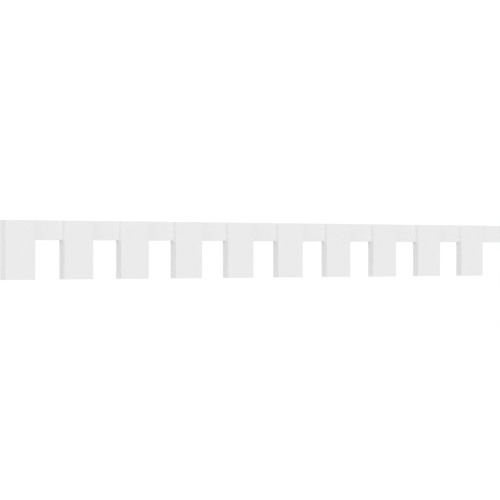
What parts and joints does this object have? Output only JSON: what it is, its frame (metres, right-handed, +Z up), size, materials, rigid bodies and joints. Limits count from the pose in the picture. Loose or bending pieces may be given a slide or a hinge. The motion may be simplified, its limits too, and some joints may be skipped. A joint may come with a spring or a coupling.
{
  "type": "dentil moulding",
  "caption": "Straight length of dentil moulding: square blocks at an even pitch, one piece with the thinner band they hang from, gaps cut right through below it, flat back, square-cut ends.",
  "frame": {"origin": "on the flat back face, halfway along the strip and halfway up the band", "axes": "+X along the strip, from the end that starts with a dentil to the end that finishes with a gap; +Y out of the back, into the wall; +Z up, from the dentils' feet to the band's top"},
  "size_m": [1, 0.01, 0.075],
  "materials": {
    "white_trim": "smooth satin-matt white, new and unpainted, crisp machined edges"
  },
  "bodies": {
    "root": {"dentil_strip": "white_trim"}
  },
  "joints": []
}
